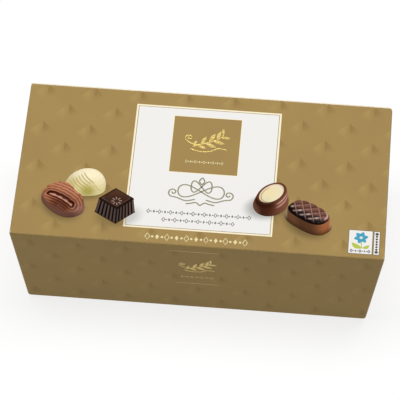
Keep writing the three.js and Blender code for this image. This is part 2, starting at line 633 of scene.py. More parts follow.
@dataclass(frozen=True)
class FoldedCarton:
    """The folded card box. Its sizes are the sharp corners in which the faces would meet.

    The lid, the front wall and the base panel are one strip, so the front has folds at both
    edges. The other walls fold over as ears under the lid and the base panel, the lid tucks in
    behind the back wall, and the right wall is glued over a flap at the rear corner. The print
    stack is the room that the lid leaves for the print on it. The wall row shift moves the rows
    of the pattern on the walls, down where it is negative. The walls are shaded round from the
    upper fold's depth below the ears on, and the worn rim is the width of the wear on a panel.
    """

    height: float
    lid_width: float = 190.0
    lid_depth: float = 97.0
    base_width: float = 177.0
    base_depth: float = 86.0
    card: float = 0.5
    fold_radius: float = 0.9
    fold_steps: int = 8
    corner_radius: float = 1.0
    corner_steps: int = 8
    panel_setback: float = 0.5
    back_edge_drop: float = 0.6
    tuck_gap: float = 0.15
    glued_edge_setback: float = 1.8
    ledge: float = 0.03
    print_stack: float = 0.12
    upper_fold: float = 1.2
    wall_row_shift: float = -3.2
    worn_rim: float = 1.2
    ear_wear: float = 0.4
    corner_wear: float = 0.8

    @cached_property
    def lid_face(self) -> float:
        """The height of the lid's face, which leaves room for the print on it."""
        return self.height - self.print_stack

    @cached_property
    def ear_top(self) -> float:
        """The height of the ears under the lid."""
        return self.lid_face - self.card

    @cached_property
    def back_edge(self) -> float:
        """The height of the back wall's cut edge."""
        return self.lid_face - self.back_edge_drop

    @cached_property
    def side(self) -> Wall:
        """The left and right walls."""
        return Wall(self.base_width, self.lid_width, self.height)

    @cached_property
    def end(self) -> Wall:
        """The front and back walls."""
        return Wall(self.base_depth, self.lid_depth, self.height)

    def folded_half(self, wall: Wall, z: float, bottom: float, top: float) -> float:
        """Half size of a wall that is folded over at both heights.

        Args:
            wall: the wall.
            z: the height.
            bottom: the height of the lower fold.
            top: the height of the upper fold.

        Returns:
            The distance from the middle of the box.
        """
        radius = self.fold_radius
        rise = radius * math.sin(wall.lean)
        if bottom + radius - rise <= z <= top - radius - rise:
            return wall.half_at(z)
        centre_z = top - radius if z > top - radius - rise else bottom + radius
        centre = wall.half_at(centre_z) - radius / math.cos(wall.lean)
        return centre + math.sqrt(max(radius ** 2 - (z - centre_z) ** 2, 0.0))

    def outline(self, z: float) -> list[Point2]:
        """The outline of the box at one height.

        Args:
            z: the height.

        Returns:
            Its points from the front edge's right end on, counter-clockwise from above.
        """
        in_base, in_lid = z < self.card, z > self.ear_top
        half = self.folded_half(self.side, z, self.card, self.ear_top)
        back = self.folded_half(self.end, z, self.card, math.inf)
        front = self.folded_half(self.end, z, 0.0, self.lid_face)
        if in_base:
            half = self.side.half_at(0.0) - self.panel_setback
            back = self.end.half_at(0.0) - self.panel_setback
        if in_lid:
            half = self.side.half_at(self.height) - self.panel_setback
        if z > self.back_edge:
            tuck = self.end.half_at(self.back_edge) - self.card - self.tuck_gap
            climb = z - (self.lid_face - self.fold_radius)
            back = tuck - self.fold_radius + math.sqrt(max(self.fold_radius ** 2 - climb ** 2, 0.0))
        step = 0.0 if in_base or in_lid else self.card
        glued = back - self.glued_edge_setback
        return [*self.corner(half, -front, -90.0), (half, glued), (half - step, glued),
                *self.corner(half - step, back, 0.0), *self.corner(-half, back, 90.0),
                *self.corner(-half, -front, 180.0)]

    def corner(self, x: float, y: float, start_deg: float) -> list[Point2]:
        """A quarter circle round an upright corner.

        Args:
            x: the sharp corner's place along the width.
            y: the sharp corner's place along the depth.
            start_deg: the angle at which the arc starts.

        Returns:
            Its points, counter-clockwise.
        """
        radius = self.corner_radius
        x -= math.copysign(radius, x)
        y -= math.copysign(radius, y)
        angles = np.radians(np.linspace(start_deg, start_deg + 90.0, self.corner_steps + 1)).tolist()
        return [(x + radius * math.cos(angle), y + radius * math.sin(angle)) for angle in angles]

    def stretches(self) -> list[tuple[Panel, bool]]:
        """The panel of each stretch of the outline, and whether it is a round corner.

        Returns:
            The stretches, in the order of the outline's points.
        """
        front, right, back, left = Panel.FRONT, Panel.RIGHT, Panel.BACK, Panel.LEFT
        half = self.corner_steps // 2
        plan = ((front, True, half), (right, True, half), (right, False, 2), (back, False, 1),
                (back, True, 2 * half), (back, False, 1), (back, True, half), (left, True, half),
                (left, False, 1), (left, True, half), (front, True, half), (front, False, 1))
        return [(panel, rounded) for panel, rounded, count in plan for _ in range(count)]

    def levels(self) -> list[float]:
        """The heights of the outlines: both sides of each ledge, and each fold's arc.

        Returns:
            The heights, from the base up.
        """
        heights = {self.card - self.ledge, self.card, self.back_edge, self.back_edge + self.ledge,
                   self.ear_top, self.ear_top + self.ledge}
        tangent = self.fold_radius * (1 + math.sin(self.side.lean))
        heights |= {self.lid_face - tangent, self.ear_top - tangent}
        for step in range(self.fold_steps + 1):
            depth = self.fold_radius * (1 - math.cos(math.pi / 2 * step / self.fold_steps))
            heights |= {depth, self.card + depth, self.lid_face - depth, self.ear_top - depth}
        return sorted(heights)

    def on_blank(self, panel: Panel, place: Point3) -> Point2:
        """Where a point of the box lies on the printed blank.

        Args:
            panel: the panel that the point is on.
            place: the point.

        Returns:
            Its place across and down the print.
        """
        x, y, z = place
        if panel is Panel.LID:
            return (x, self.lid_depth / 2 - y)
        first_row = self.lid_depth + self.wall_row_shift
        if panel is Panel.BASE:
            return (x, first_row + self.height + self.base_depth / 2 + y)
        across = {Panel.FRONT: x, Panel.RIGHT: y, Panel.BACK: -x, Panel.LEFT: -y}[panel]
        return (across, first_row + (self.lid_face - z) / math.cos(self.end.lean))

    def fold_wear(self, panel: Panel, z: float) -> float:
        """How worn the print is at a height.

        Args:
            panel: the panel.
            z: the height.

        Returns:
            From 0 on a wall to 1 inside the round of a fold.
        """
        if panel is not Panel.FRONT and (z > self.ear_top or z < self.card):
            return self.ear_wear
        bottom, top = (0.0, self.lid_face) if panel is Panel.FRONT else (self.card, self.ear_top)
        depth = min(abs(z - bottom), abs(top - z)) / self.fold_radius
        return math.sin(math.pi * min(depth, 1.0))

    def build(self, board: Finish, cut: Finish) -> bpy.types.Object:
        """Build the folded box in the place of the frame's own node.

        Args:
            board: the printed board.
            cut: the board's cut edge.

        Returns:
            The box.
        """
        skin = Skin()
        stretches = self.stretches()
        rings = []
        for z in self.levels():
            ring = []
            for at, (x, y) in enumerate(self.outline(z)):
                panel, rounded = stretches[at]
                worn_corner = self.corner_wear if rounded and stretches[at - 1][1] else 0.0
                ring.append(skin.point((x, y, z), max(self.fold_wear(panel, z), worn_corner)))
            rings.append(ring)
        for lower, upper in zip(rings, rings[1:]):
            self.add_band(skin, stretches, lower, upper)
        self.add_cap(skin, rings[0][::-1], Panel.BASE)
        self.add_cap(skin, rings[-1], Panel.LID)
        mesh = skin.mesh("folded_carton", board, cut)
        mesh.transform(Matrix.Scale(MM, 4))
        mesh.update()
        carton = link_object("folded_carton", mesh)
        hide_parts(CARTON_NODE)
        return deliver(carton, Slot.GOLD_CARD)

    def add_band(self, skin: Skin, stretches: Sequence[tuple[Panel, bool]], lower: Sequence[int],
                 upper: Sequence[int]) -> None:
        """Join two outlines by faces, with the cut edges as bare board.

        Args:
            skin: the mesh in the making.
            stretches: the panel of each stretch, and whether it is round.
            lower: the lower outline's points.
            upper: the upper outline's points.
        """
        low_z, high_z = skin.points[lower[0]][2], skin.points[upper[0]][2]
        in_base, in_lid = high_z < self.card, low_z > self.ear_top
        glued_edge = self.corner_steps + 1
        in_fold = high_z <= self.card + self.fold_radius or low_z >= self.ear_top - self.upper_fold
        in_fold = in_fold and high_z - low_z > self.ledge + 1e-6
        for at, (panel, rounded) in enumerate(stretches):
            after = (at + 1) % len(stretches)
            corners = [lower[at], lower[after], upper[after], upper[at]]
            bare = (in_lid and panel in (Panel.LEFT, Panel.RIGHT)
                    or in_base and panel is not Panel.FRONT
                    or low_z == self.back_edge and panel is Panel.BACK
                    or at == glued_edge)
            blank = [self.on_blank(panel, skin.points[index]) for index in corners]
            skin.face(corners, int(bare), (rounded or in_fold) and not bare, blank)

    def add_cap(self, skin: Skin, rim: Sequence[int], panel: Panel) -> None:
        """Close the box by a flat panel, whose print is worn only along its rim.

        Args:
            skin: the mesh in the making.
            rim: the panel's outline, counter-clockwise from outside.
            panel: the lid or the base.
        """
        inner = [skin.point((x - math.copysign(self.worn_rim, x), y - math.copysign(self.worn_rim, y), z))
                 for x, y, z in (skin.points[index] for index in rim)]
        faces = [[rim[at - 1], rim[at], inner[at], inner[at - 1]] for at in range(len(rim))]
        for corners in (*faces, inner):
            skin.face(corners, blank=[self.on_blank(panel, skin.points[index]) for index in corners])

    def lid(self) -> Face:
        """The lid's face, centred on the box."""
        return Face((0.0, 0.0, self.lid_face), (1.0, 0.0, 0.0), (0.0, 1.0, 0.0), (0.0, 0.0, 1.0))

    def front(self) -> Face:
        """The front wall's face, measured from the middle of its upper edge.

        Returns:
            The face.
        """
        run, rise = math.sin(self.end.lean), math.cos(self.end.lean)
        origin = (0.0, -self.end.half_at(self.lid_face), self.lid_face)
        return Face(origin, (1.0, 0.0, 0.0), (0.0, -run, rise), (0.0, -rise, -run))


@dataclass(frozen=True)
class Area:
    """An upright rectangle on a face."""

    left: float
    right: float
    bottom: float
    top: float

    @property
    def centre(self) -> Point2:
        """The middle."""
        return ((self.left + self.right) / 2, (self.bottom + self.top) / 2)

    def inset(self, distance: float) -> "Area":
        """The rectangle that lies a distance inside this one."""
        return Area(self.left + distance, self.right - distance, self.bottom + distance, self.top - distance)

    def outline(self, radius: float = 0.0) -> list[Point2]:
        """The corners, or round corners, counter-clockwise from the lower left.

        Args:
            radius: the corners' radius.

        Returns:
            The points.
        """
        inner, points = self.inset(radius), []
        for x, y, start_deg in ((inner.left, inner.bottom, 180.0), (inner.right, inner.bottom, 270.0),
                                (inner.right, inner.top, 0.0), (inner.left, inner.top, 90.0)):
            for angle in np.radians(np.linspace(start_deg, start_deg + 90.0, 7 if radius else 1)):
                points.append((x + radius * math.cos(angle), y + radius * math.sin(angle)))
        return points


@dataclass(frozen=True)
class LidLabel:
    """The white field on the lid, with its cream frame, its fine gold line and a gold square."""

    area: Area = Area(-38.0, 37.6, -39.3, 38.9)
    frame_width: float = 0.95
    line_width: float = 0.32
    square: Area = Area(-17.8, 17.2, -3.0, 32.8)
    halo_width: float = 0.35
    thickness: float = 0.03

    def build(self, lid: Face, palette: Palette) -> None:
        """Build the fields side by side, so that none lies on another.

        Args:
            lid: the lid's face.
            palette: the finishes.
        """
        framed = self.area.inset(self.frame_width)
        lined = framed.inset(self.line_width)
        halo = self.square.inset(-self.halo_width)
        for name, outer, inner, finish, slot in (
                ("label_frame", self.area, framed, palette.cream, Slot.WHITE_PRINT),
                ("label_line", framed, lined, palette.line, Slot.GOLD_FOIL),
                ("label_field", lined, halo, palette.white, Slot.WHITE_PRINT),
                ("square_halo", halo, self.square, palette.cream, Slot.WHITE_PRINT),
                ("gold_square", self.square, None, palette.square, Slot.GOLD_CARD)):
            skin = Skin()
            skin.add_field(outer.outline(), self.thickness, 0.0, inner.outline() if inner else ())
            lid.lay(name, skin.mesh(name, finish), slot)


class NodeTool:
    """A Geometry Nodes tree with named inputs, used for one print at a time."""

    name = ""
    sizes: dict[str, str] = {}

    def __init__(self) -> None:
        """Build the tree, which ends in real, dressed meshes."""
        self.tree = bpy.data.node_groups.new(self.name, "GeometryNodeTree")
        self.add = partial(add_node, self.tree)
        self.tree.interface.new_socket("Geometry", in_out="OUTPUT", socket_type="NodeSocketGeometry")
        for title, kind in {"Geometry": "Geometry", **self.sizes, "Material": "Material"}.items():
            self.tree.interface.new_socket(title, in_out="INPUT", socket_type="NodeSocket" + kind)
        self.given = self.add("NodeGroupInput")
        real = self.add("GeometryNodeRealizeInstances", (self.shape(),))[0]
        dress = {"Geometry": real, "Material": self.given["Material"]}
        self.add("NodeGroupOutput", (self.add("GeometryNodeSetMaterial", dress)[0],))

    def shape(self) -> Socket:
        """Add the nodes of the tool's own shape."""
        raise NotImplementedError

    def run(self, name: str, data: bpy.types.ID, ink: Finish, sizes: dict[str, float]) -> bpy.types.Mesh:
        """Run the tree and keep the result as a plain mesh.

        Args:
            name: the mesh's name.
            data: the curve or mesh that the tool works on.
            ink: the finish.
            sizes: a value for each named size.

        Returns:
            The mesh, in millimetres.
        """
        source = link_object(name + "_source", data)
        modifier = source.modifiers.new(self.tree.name, "NODES")
        modifier.node_group = self.tree
        sockets = {item.name: item.identifier for item in self.tree.interface.items_tree
                   if item.in_out == "INPUT"}
        for title, value in {**sizes, "Material": ink.material}.items():
            modifier[sockets[title]] = value
        graph = bpy.context.evaluated_depsgraph_get()
        mesh = bpy.data.meshes.new_from_object(source.evaluated_get(graph))
        source.modifiers.remove(modifier)
        bpy.data.objects.remove(source)
        mesh.name = name
        return mesh


class Nib(NodeTool):
    """Draws curves as flat pen strokes, whose width follows the points' radius."""

    name = "pen strokes"
    sizes = {"Width": "Float", "Thickness": "Float"}

    def shape(self) -> Socket:
        """Sweep a flat nib along the curves.

        Returns:
            The strokes.
        """
        add, given = self.add, self.given
        tip = {"Width": given["Width"], "Height": given["Thickness"]}
        profile = add("GeometryNodeCurvePrimitiveQuadrilateral", tip)[0]
        level = add("GeometryNodeSetCurveNormal", (given["Geometry"],), mode="Z_UP")[0]
        return add("GeometryNodeCurveToMesh", {"Curve": level, "Profile Curve": profile,
                                               "Fill Caps": True})[0]


class LeafPrinter(NodeTool):
    """Sets pointed leaves along a stem, alternately to its left and to its right."""

    name = "leaves on a stem"
    sizes = {"Count": "Int", "Length": "Float", "Width": "Float", "Angle": "Float",
             "Thickness": "Float"}
    least = 0.6

    def shape(self) -> Socket:
        """Place the leaves, larger towards the middle of the stem.

        Returns:
            The leaves.
        """
        add, given = self.add, self.given
        spots = add("GeometryNodeCurveToPoints", {"Curve": given["Geometry"], "Count": given["Count"]},
                    mode="COUNT")
        heading = add("FunctionNodeAlignRotationToVector", {"Vector": spots["Tangent"]}, axis="X",
                      pivot_axis="Z")[0]
        index = add("GeometryNodeInputIndex")[0]
        odd = add("ShaderNodeMath", (index, 2.0), operation="MODULO")[0]
        side = add("ShaderNodeMath", (odd, -2.0, 1.0), operation="MULTIPLY_ADD")[0]
        swing = add("ShaderNodeMath", (side, given["Angle"]), **TIMES)[0]
        local = add("FunctionNodeEulerToRotation", (add("ShaderNodeCombineXYZ", {2: swing})[0],))[0]
        turned = add("FunctionNodeRotateRotation", (heading, local), rotation_space="LOCAL")[0]
        middle = add("ShaderNodeMath", (index, 0.5), operation="ADD")[0]
        share = add("ShaderNodeMath", (middle, given["Count"]), operation="DIVIDE")[0]
        arch = add("ShaderNodeMath", (add("ShaderNodeMath", (share, math.pi), **TIMES)[0],),
                   operation="SINE")[0]
        size = add("ShaderNodeMath", (arch, 1 - self.least, self.least), operation="MULTIPLY_ADD")[0]
        return add("GeometryNodeInstanceOnPoints", {"Points": spots["Points"], "Instance": self.leaf(),
                                                    "Rotation": turned, "Scale": size})[0]

    def leaf(self) -> Socket:
        """Add one leaf, with its foot at the origin and its tip along X.

        Returns:
            Its mesh.
        """
        add, given = self.add, self.given
        disc = add("GeometryNodeMeshCylinder", {"Vertices": 24, "Radius": 0.5, "Depth": given["Thickness"]},
                   fill_type="NGON")[0]
        x, y, z = add("ShaderNodeSeparateXYZ", (add("GeometryNodeInputPosition")[0],))
        pointed = add("ShaderNodeMath", (y, add("ShaderNodeMath", (y,), operation="ABSOLUTE")[0]), **TIMES)[0]
        doubled = add("ShaderNodeMath", (pointed, 2.0), **TIMES)[0]
        across = add("ShaderNodeMath", (doubled, given["Width"]), **TIMES)[0]
        from_foot = add("ShaderNodeMath", (x, 0.5), operation="ADD")[0]
        along = add("ShaderNodeMath", (from_foot, given["Length"]), **TIMES)[0]
        place = add("ShaderNodeCombineXYZ", (along, across, z))[0]
        return add("GeometryNodeSetPosition", {"Geometry": disc, "Position": place})[0]


class MarkPrinter(NodeTool):
    """Prints a row of small open lozenges, dots and full lozenges, as fine borders have."""

    name = "row of marks"
    sizes = {"Count": "Int", "Pitch": "Float", "Size": "Float", "Pen": "Float", "Thickness": "Float",
             "Unevenness": "Float", "Seed": "Int"}
    slimness = 0.62
    full_size = 0.78
    dot_size = 0.32

    def shape(self) -> Socket:
        """Place the marks on a level line, centred on the origin.

        Returns:
            The marks.
        """
        add, given = self.add, self.given
        steps = add("ShaderNodeMath", (given["Count"], 1.0), operation="SUBTRACT")[0]
        reach = add("ShaderNodeMath", (steps, given["Pitch"]), **TIMES)[0]
        start = add("ShaderNodeCombineXYZ", (add("ShaderNodeMath", (reach, -0.5), **TIMES)[0],))[0]
        step = add("ShaderNodeCombineXYZ", (given["Pitch"],))[0]
        line = add("GeometryNodeMeshLine", {"Count": given["Count"], "Start Location": start,
                                            "Offset": step})[0]
        low = add("ShaderNodeMath", (1.0, given["Unevenness"]), operation="SUBTRACT")[0]
        uneven = add("FunctionNodeRandomValue", {"Min": low, "Max": 1.0, "Seed": given["Seed"]},
                     data_type="FLOAT")[1]
        turn = add("ShaderNodeMath", (add("GeometryNodeInputIndex")[0], 2.0), operation="PINGPONG")[0]
        marks = [self.disc(4, (self.slimness * self.full_size, self.full_size, 1.0)),
                 self.disc(12, (self.dot_size, self.dot_size, 1.0)), self.lozenge()]
        return add("GeometryNodeInstanceOnPoints", {
            "Points": line, "Instance": add("GeometryNodeGeometryToInstance", (marks,))[0],
            "Pick Instance": True, "Instance Index": turn, "Scale": uneven})[0]

    def radius(self) -> Socket:
        """Add half a mark's size."""
        return self.add("ShaderNodeMath", (self.given["Size"], 0.5), **TIMES)[0]

    def lozenge(self) -> Socket:
        """Add an open lozenge, drawn with the pen.

        Returns:
            Its mesh.
        """
        add, given = self.add, self.given
        corners = add("GeometryNodeCurvePrimitiveCircle", {"Resolution": 4, "Radius": self.radius()})[0]
        slim = add("GeometryNodeTransform", {"Geometry": corners, "Scale": (self.slimness, 1.0, 1.0)})[0]
        level = add("GeometryNodeSetCurveNormal", (slim,), mode="Z_UP")[0]
        tip = {"Width": given["Pen"], "Height": given["Thickness"]}
        profile = add("GeometryNodeCurvePrimitiveQuadrilateral", tip)[0]
        return add("GeometryNodeCurveToMesh", {"Curve": level, "Profile Curve": profile})[0]

    def disc(self, corners: int, shape: Point3) -> Socket:
        """Add a full mark.

        Args:
            corners: the number of its corners.
            shape: its size along each axis, as a share of a mark's full size.

        Returns:
            Its mesh.
        """
        size = {"Vertices": corners, "Radius": self.radius(), "Depth": self.given["Thickness"]}
        disc = self.add("GeometryNodeMeshCylinder", size, fill_type="NGON")[0]
        return self.add("GeometryNodeTransform", {"Geometry": disc, "Scale": shape})[0]


class Tools:
    """The three tools that ornaments are printed with."""

    def __init__(self) -> None:
        """Build the tools."""
        self.nib, self.leaves, self.marks = Nib(), LeafPrinter(), MarkPrinter()


@dataclass(frozen=True)
class Stroke:
    """One pen stroke: a smooth curve through a few points, thin at its ends.

    Its side is 1, or -1 for the mirror image across the upright axis.
    """

    knots: Sequence[Point2]
    thin: float = 0.28
    steps: int = 14
    side: int = 1

    def route(self) -> np.ndarray:
        """The unmirrored points, by a Catmull-Rom spline through the knots.

        Returns:
            The points, as rows of x and y.
        """
        knots = np.array(self.knots)
        ends = np.vstack([2 * knots[0] - knots[1], knots, 2 * knots[-1] - knots[-2]])
        p0, p1, p2, p3 = (ends[first:len(ends) - 3 + first, None] for first in range(4))
        t = (np.arange(self.steps) / self.steps)[:, None]
        made = 0.5 * (2 * p1 + (p2 - p0) * t + (2 * p0 - 5 * p1 + 4 * p2 - p3) * t ** 2
                      + (3 * p1 - p0 - 3 * p2 + p3) * t ** 3)
        return np.vstack([made.reshape(-1, 2), knots[-1]])

    def points(self) -> np.ndarray:
        """The curve's points."""
        return self.route() * (self.side, 1)

    def swell(self, share: float) -> float:
        """The stroke's relative width at a share of its length."""
        return self.thin + (1 - self.thin) * math.sin(math.pi * share) ** 0.8


@dataclass(frozen=True)
class Scroll(Stroke):
    """A stroke that ends in a spiral: it starts at the foot and winds into an eye."""

    eye: Point2 = (0.0, 0.0)
    outer: float = 1.0
    inner: float = 0.2
    start_deg: float = 0.0
    sweep_deg: float = 450.0

    def route(self) -> np.ndarray:
        """The unmirrored points of the lead and the spiral.

        Returns:
            The points, as rows of x and y.
        """
        share = np.linspace(0.0, 1.0, 61)
        angle = np.radians(self.start_deg + self.sweep_deg * share)
        radius = self.outer * (self.inner / self.outer) ** share
        spiral = self.eye + np.stack([np.cos(angle), np.sin(angle)], -1) * radius[:, None]
        lead = Stroke((*self.knots, spiral[0]), steps=self.steps).route()
        return np.vstack([lead[:-1], spiral])


def curve_of(name: str, strokes: Sequence[Stroke], lift: float = 0.0015) -> bpy.types.Curve:
    """Make curve data of strokes, each a little above the one before, so that none coincide.

    Args:
        name: the curve's name.
        strokes: the strokes.
        lift: how far each stroke lies above the one before.

    Returns:
        The curve data.
    """
    curve = bpy.data.curves.new(name, "CURVE")
    curve.dimensions = "3D"
    for order, stroke in enumerate(strokes):
        places = stroke.points()
        spline = curve.splines.new("POLY")
        spline.points.add(len(places) - 1)
        for at, (x, y) in enumerate(places.tolist()):
            spline.points[at].co = (x, y, order * lift, 1.0)
            spline.points[at].radius = stroke.swell(at / (len(places) - 1))
    return curve


@dataclass(frozen=True)
class Ornament:
    """A small flat ornament in one ink, at a height over the card."""

    name: str
    centre: Point2
    ink: Finish
    slot: Slot
    bottom: float

    def build(self, face: Face, tools: Tools) -> None:
        """Print the ornament on a face."""
        raise NotImplementedError


@dataclass(frozen=True)
class Sprig(Ornament):
    """A generic leafy sprig with a curl and a swash."""

    size: float
    pen: float = 0.75
    leaf_length: float = 6.2
    leaf_width: float = 2.1
    leaf_count: int = 9
    leaf_deg: float = 42.0
    leaf_share: float = 0.8
    drawn: float = 22.0
    thickness: float = 0.03

    def build(self, face: Face, tools: Tools) -> None:
        """Draw the stem and its curls, and set the leaves.

        Args:
            face: the face that it lies on.
            tools: the tools.
        """
        scale = self.size / self.drawn
        height = self.thickness / scale
        stem = Stroke(((-6.4, -4.6), (-2.4, -2.9), (2.6, -0.9), (6.8, 1.6), (8.4, 3.6)), 0.35)
        curl = Scroll(((-2.4, -2.9), (-5.2, -3.2), (-8.2, -2.2)), eye=(-8.6, 0.9), outer=2.2, inner=0.5,
                      start_deg=215.0, sweep_deg=-470.0)
        swash = Stroke(((-7.4, -6.0), (-3.0, -7.4), (2.4, -7.0), (6.4, -4.9), (10.8, -5.4)), 0.12)
        leaf = {"Count": self.leaf_count, "Length": self.leaf_length, "Width": self.leaf_width,
                "Angle": math.radians(self.leaf_deg), "Thickness": height * self.leaf_share}
        for part, tool, strokes, sizes in (
                ("_stem", tools.nib, [stem, curl, swash], {"Width": self.pen, "Thickness": height}),
                ("_leaves", tools.leaves, [stem], leaf)):
            name = self.name + part
            mesh = tool.run(name, curve_of(name, strokes), self.ink, sizes)
            face.lay(name, mesh, self.slot, self.centre, self.bottom + self.thickness / 2, scale)


@dataclass(frozen=True)
class Flourish(Ornament):
    """A generic penman's flourish: interlaced loops that mirror each other."""

    size: float
    pen: float = 0.7
    drawn: float = 35.0
    thickness: float = 0.02

    def strokes(self) -> list[Stroke]:
        """The two interlaced loops, and each side stroke with its mirror image.

        Returns:
            The strokes, from the lowest up.
        """
        turn = np.linspace(0.0, 2 * np.pi, 29)
        band = np.stack([12.0 * np.sin(turn), 3.9 * np.sin(2 * turn)], -1)
        knot = np.stack([5.4 * np.sin(turn), 3.1 - 3.6 * np.sin(2 * turn)], -1)
        right = [
            Scroll(((2.8, -5.0), (7.6, -6.2), (12.2, -4.6)), eye=(14.3, -1.2), outer=3.0, inner=0.6,
                   start_deg=-70.0, sweep_deg=440.0),
            Stroke(((0.0, 4.4), (1.3, 6.2), (0.9, 7.8), (0.0, 9.0)), 0.2),
            Stroke(((0.0, -8.8), (2.2, -7.0), (4.6, -7.6), (7.4, -8.2)), 0.15)]
        return [Stroke(band, 0.55, 4), Stroke(knot, 0.5, 4),
                *(replace(stroke, side=side) for stroke in right for side in (1, -1))]

    def build(self, face: Face, tools: Tools) -> None:
        """Draw the flourish.

        Args:
            face: the face that it lies on.
            tools: the tools.
        """
        scale = self.size / self.drawn
        sizes = {"Width": self.pen, "Thickness": self.thickness / scale}
        mesh = tools.nib.run(self.name, curve_of(self.name, self.strokes()), self.ink, sizes)
        face.lay(self.name, mesh, self.slot, self.centre, self.bottom + self.thickness / 2, scale)


@dataclass(frozen=True)
class MarkRow(Ornament):
    """A row of small ornaments where the pack carries a line of small print."""

    length: float
    size: float
    pitch: float
    pen: float
    unevenness: float = 0.08
    thickness: float = 0.02

    def build(self, face: Face, tools: Tools) -> None:
        """Print the row, which starts and ends with the same mark.

        Args:
            face: the face that it lies on.
            tools: the tools.
        """
        count = int(self.length / self.pitch / 4) * 4 + 1
        sizes = {"Count": count, "Pitch": self.length / count, "Size": self.size, "Pen": self.pen,
                 "Thickness": self.thickness, "Unevenness": self.unevenness, "Seed": len(self.name)}
        mesh = tools.marks.run(self.name, bpy.data.meshes.new(self.name + "_source"), self.ink, sizes)
        face.lay(self.name, mesh, self.slot, self.centre, self.bottom + self.thickness / 2)


def leaf_outline(foot: Sequence[float], tip: Sequence[float], width: float, bend: float = 0.0
                 ) -> np.ndarray:
    """The outline of a pointed leaf.

    Args:
        foot: where it starts.
        tip: where it ends.
        width: its greatest width.
        bend: how far its midrib bows to the left.

    Returns:
        The points, counter-clockwise.
    """
    steps = 12
    out, home = np.arange(steps + 1), np.arange(steps - 1, 0, -1)
    share = np.concatenate([out, home])[:, None] / steps
    side = np.repeat((-0.5, 0.5), (len(out), len(home)))[:, None]
    along = np.subtract(tip, foot)
    left = np.array([-along[1], along[0]]) / np.linalg.norm(along)
    arch = np.sin(np.pi * share)
    return foot + along * share + left * (bend * arch + side * width * arch ** 0.8)


@dataclass(frozen=True)
class CornerPatch:
    """The small white patch near the lid's right front corner, with a flower and leaves."""

    area: Area = Area(76.4, 88.2, -45.7, -31.6)
    strip: Area = Area(89.1, 91.8, -45.7, -31.7)
    border: float = 0.22
    radius: float = 0.35
    thickness: float = 0.03
    mark: float = 0.02
    petals: int = 6
    petal_lift: float = 0.002
    row_foot: float = 1.55
    strip_marks: int = 8
    strip_foot: float = 1.5
    strip_pitch: float = 1.58

    def build(self, lid: Face, palette: Palette, tools: Tools) -> None:
        """Build the patch, its strip and what is printed on them.

        Args:
            lid: the lid's face.
            palette: the finishes.
            tools: the tools.
        """
        patch, edge, leaves, flower, column = (Skin() for _ in range(5))
        for area in (self.area, self.strip):
            inner = area.outline(self.radius)
            patch.add_field(inner, self.thickness)
            edge.add_field(area.inset(-self.border).outline(self.radius + self.border), self.thickness,
                           0.0, inner)
        middle = np.array(self.area.centre)
        for foot, tip, width, bend in (((1.0, -3.6), (-4.5, -0.6), 2.6, 0.7),
                                       ((1.0, -3.6), (4.6, -1.6), 1.9, -0.5),
                                       ((1.0, -3.8), (0.4, 2.6), 0.55, 0.3)):
            leaf = leaf_outline(middle + foot, middle + tip, width, bend)
            leaves.add_field(leaf.tolist(), self.mark, self.thickness)
        heart = middle + (0.2, 2.7)
        for angle in np.radians(12.0 + 360.0 / self.petals * np.arange(self.petals)):
            way = np.array([np.cos(angle), np.sin(angle)])
            petal = leaf_outline(heart + 0.55 * way, heart + 3.7 * way, 2.2)
            flower.add_field(petal.tolist(), self.mark, self.thickness + self.petal_lift)
        for step in range(self.strip_marks):
            x, y = self.strip.centre[0], self.strip.bottom + self.strip_foot + self.strip_pitch * step
            size = 1.1 if step in (0, self.strip_marks - 1) else 0.8
            lozenge = [(x + size * math.cos(angle), y + size * 0.95 * math.sin(angle))
                       for angle in np.arange(4) * math.pi / 2]
            column.add_field(lozenge, self.mark, self.thickness)

        for name, skin, finish, slot in (("corner_patch", patch, palette.patch, Slot.WHITE_PRINT),
                                         ("patch_edge", edge, palette.dark, Slot.DARK_PRINT),
                                         ("patch_leaves", leaves, palette.green, Slot.WHITE_PRINT),
                                         ("patch_flower", flower, palette.blue, Slot.WHITE_PRINT)):
            lid.lay(name, skin.mesh(name, finish), slot)
        MarkRow("patch_row", (middle[0], self.area.bottom + self.row_foot), palette.dark, Slot.DARK_PRINT,
                self.thickness, 10.0, 1.9, 0.96, 0.5).build(lid, tools)
        lid.lay("strip_marks", column.mesh("strip_marks", palette.dark), Slot.DARK_PRINT)


def step_up(value: np.ndarray, start: float, end: float) -> np.ndarray:
    """Rise smoothly from 0 at start to 1 at end."""
    share = np.clip((value - start) / (end - start), 0.0, 1.0)
    return share * share * (3 - 2 * share)


def bell(value: np.ndarray, middle: float, width: float) -> np.ndarray:
    """A soft band, 1 at its middle and nearly 0 beyond twice its width."""
    return np.exp(-((value - middle) / width) ** 2)


def linear(ink: Ink) -> np.ndarray:
    """The linear colour of an ink, which is a hex value or linear already."""
    return np.array(srgb(ink)[:3]) if isinstance(ink, str) else ink


def inked(ground: Ink, *layers: tuple[np.ndarray, Ink]) -> np.ndarray:
    """Lay inks over each other.

    Args:
        ground: the lowest ink.
        layers: each further ink with its share at each point, held between 0 and 1.

    Returns:
        The linear colour at each point.
    """
    colour = linear(ground)
    for share, ink in layers:
        held = np.clip(share, 0.0, 1.0)[..., None]
        colour = colour * (1 - held) + linear(ink) * held
    return colour


@dataclass(frozen=True)
class Model:
    """The grid of a sweet's model: rows from the rim to the middle, columns around it.

    A point has a share of the outline's scale, of the turn around it and of the height, and it
    is pictured so far to the right of the base's centre, above it and towards the eye.
    """

    points: np.ndarray
    normals: np.ndarray
    scale: np.ndarray
    turn: np.ndarray
    lift: np.ndarray
    right: np.ndarray
    above: np.ndarray
    depth: np.ndarray

    def blot(self, right: float, above: float, radius: float) -> np.ndarray:
        """A soft round blot in the picture, 1 at its middle and 0 beyond its radius."""
        return 1.0 - step_up(np.hypot(self.right - right, self.above - above), 0.0, radius)


